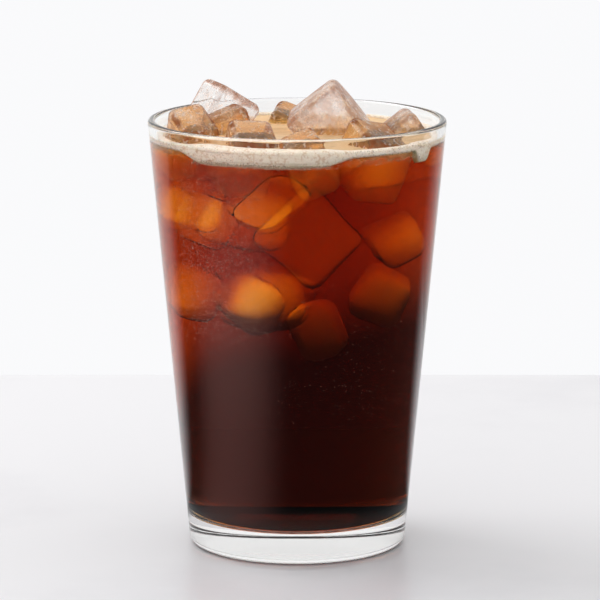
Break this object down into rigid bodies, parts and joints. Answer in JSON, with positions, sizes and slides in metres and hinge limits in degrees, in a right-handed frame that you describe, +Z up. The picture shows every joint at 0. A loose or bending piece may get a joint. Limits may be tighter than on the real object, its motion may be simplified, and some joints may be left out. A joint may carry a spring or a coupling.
{
  "type": "iced americano in a tumbler",
  "caption": "Iced americano in a clear tapered tumbler, filled nearly to the rim, with froth against the wall and ice cubes standing out of the drink.",
  "frame": {"origin": "centre of the tumbler's base, on the surface it stands on", "axes": "+Z up along the tumbler's axis; the pictured side faces -Y"},
  "size_m": [0.0882, 0.0882, 0.1386],
  "materials": {
    "glass": "clear, smooth soda-lime glass",
    "drink": "black coffee, clear reddish brown where it is thin and near black where it is deep",
    "foam": "fine creamy beige froth",
    "ice": "wet clear ice with cloudy cores"
  },
  "bodies": {
    "root": {"glass": "glass", "drink": "drink", "foam": "foam", "ice_back_left": "ice", "ice_left": "ice", "ice_mid_left": "ice", "ice_front_left": "ice", "ice_back": "ice", "ice_front": "ice", "ice_centre": "ice", "ice_front_right": "ice", "ice_right": "ice"}
  },
  "joints": []
}
